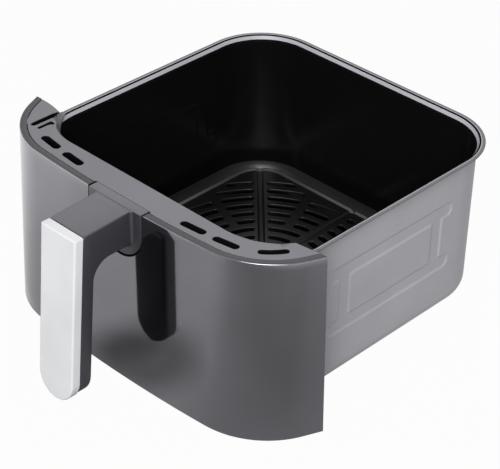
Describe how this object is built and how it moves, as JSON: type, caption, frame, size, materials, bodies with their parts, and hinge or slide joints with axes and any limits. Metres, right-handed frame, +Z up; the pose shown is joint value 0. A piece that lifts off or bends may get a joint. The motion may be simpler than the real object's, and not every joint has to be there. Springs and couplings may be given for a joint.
{
  "type": "air fryer drawer",
  "caption": "Air fryer drawer: square drawn pan with a lift-out slotted crisper plate, curved dark front panel, vented top trim and an L-shaped handle with a silver face.",
  "frame": {"origin": "centre of the pan's flat underside", "axes": "+Z up out of the pan, -Y towards the handle, +X to the right of someone who holds the handle"},
  "size_m": [0.2794, 0.3133, 0.1357],
  "materials": {
    "pan_coating": "satin grey coating outside and glossy black non-stick coating inside, on drawn steel sheet",
    "plate_coating": "satin black non-stick coating",
    "silicone": "matt silicone",
    "panel": "glossy dark grey moulding",
    "carrier": "plain moulding",
    "trim": "fine matt moulding",
    "grip": "satin moulding",
    "silver": "fine silver satin paint",
    "steel": "zinc-plated",
    "brass": "turned"
  },
  "bodies": {
    "drawer": {"pan": "pan_coating", "front_panel": "panel", "front_carrier": "carrier", "top_trim": "trim", "handle_body": "grip", "handle_face": "silver", "handle_plate": "steel", "pan_bracket": "steel", "handle_inserts": "brass", "handle_washers": "steel", "handle_screws": "steel", "panel_screws": "steel", "bracket_screws": "steel", "bracket_nuts": "steel", "trim_screws": "steel"},
    "crisper": {"crisper_plate": "plate_coating", "foot_rear": "silicone", "foot_left": "silicone", "foot_front": "silicone", "foot_right": "silicone"}
  },
  "joints": [
    {"name": "plate_lift", "type": "slide", "parent": "drawer", "child": "crisper", "axis": [0, 0, 1], "range_m": [0, 0.13]}
  ]
}
